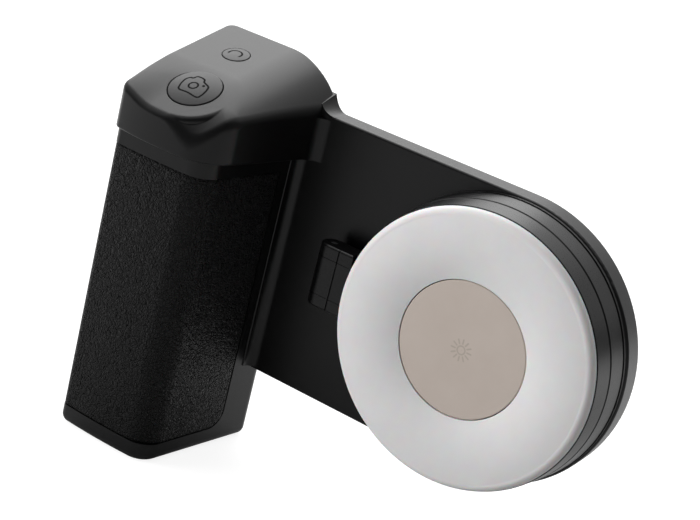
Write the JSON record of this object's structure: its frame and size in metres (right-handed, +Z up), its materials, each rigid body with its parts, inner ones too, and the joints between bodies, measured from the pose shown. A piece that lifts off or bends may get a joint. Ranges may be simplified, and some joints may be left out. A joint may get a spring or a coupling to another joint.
{
  "type": "phone camera grip with selfie light",
  "caption": "Leather-covered phone camera grip with a shutter button, a magnetic round-ended plate and a swivelling, hinged ring light with a centre press button.",
  "frame": {"origin": "centre of the ring magnet, on the face that the phone rests against", "axes": "+Y out of that face towards the phone, +X towards the plate's round end, +Z up along the handle"},
  "size_m": [0.1088, 0.0349, 0.0871],
  "materials": {
    "housing_black": "soft-touch moulded plastic, matt with a slight sheen",
    "cover_black": "fine-grained moulded plastic",
    "light_black": "satin moulded plastic",
    "leather": "black leather-look skin with a pebbled, creased grain",
    "button_black": "satin plastic, slightly glossier than the housing",
    "pad_grey": "thin matt silicone",
    "diffuser_white": "milky white translucent plastic",
    "champagne": "fine-blasted champagne metal with a satin sheen",
    "steel": "plain steel",
    "magnet": "nickel-plated magnet",
    "socket_steel": "drawn steel shell",
    "copper": "lacquered copper wire",
    "ferrite": "ferrite sheet",
    "board": "glass-fibre board with solder mask",
    "chip": "moulded chip package",
    "lamp": "yellow-coated lamp chip",
    "cell": "shrink-wrapped cell",
    "cradle": "moulded plastic"
  },
  "bodies": {
    "root": {"grip_shell": "housing_black", "leather_wrap": "leather", "top_cap": "housing_black", "plate_housing": "housing_black", "back_cover": "cover_black", "phone_pad": "pad_grey", "plate_magnets": "magnet", "charging_coil": "copper", "coil_shield": "ferrite", "battery_cell": "cell", "cell_cradle": "cradle", "main_board": "board", "board_components": "chip", "charge_socket": "socket_steel", "shutter_board": "board", "shutter_switch": "chip", "pairing_board": "board", "pairing_switch": "chip", "cap_screws": "steel", "cover_screws": "steel"},
    "shutter_button": {"shutter_button": "button_black", "shutter_plunger": "cradle"},
    "pairing_button": {"pairing_button": "button_black", "pairing_plunger": "cradle"},
    "light_base": {"light_base_shell": "light_black", "light_base_pad": "pad_grey", "light_base_magnets": "magnet", "light_base_yoke": "steel", "light_base_cover": "cover_black", "light_base_screws": "steel", "hinge_pin": "steel"},
    "light_head": {"light_head_shell": "light_black", "head_socket": "socket_steel", "led_board": "board", "lamp_chips": "lamp", "head_screws": "steel", "light_cell": "cell", "control_board": "board", "light_switch": "chip", "diffuser": "diffuser_white"},
    "light_button": {"light_button": "champagne", "light_plunger": "cradle"}
  },
  "joints": [
    {"name": "shutter_press", "type": "slide", "parent": "root", "child": "shutter_button", "axis": [0, 0.454, -0.891], "range_m": [0, 0.0005], "stiffness_N_per_m": 600, "springref_m": -0.0015},
    {"name": "pairing_press", "type": "slide", "parent": "root", "child": "pairing_button", "axis": [0, 0.2554, -0.9668], "range_m": [0, 0.0003], "stiffness_N_per_m": 600, "springref_m": -0.0015},
    {"name": "light_swivel", "type": "hinge", "parent": "root", "child": "light_base", "pos_m": [0, 0, 0], "axis": [0, 1, 0], "continuous": true},
    {"name": "light_flip", "type": "hinge", "parent": "light_base", "child": "light_head", "pos_m": [-0.036, -0.0096, 0], "axis": [0, 0, -1], "range_deg": [0, 105]},
    {"name": "light_press", "type": "slide", "parent": "light_head", "child": "light_button", "axis": [0, 1, 0], "range_m": [0, 0.00025], "stiffness_N_per_m": 2000, "springref_m": -0.0006}
  ]
}
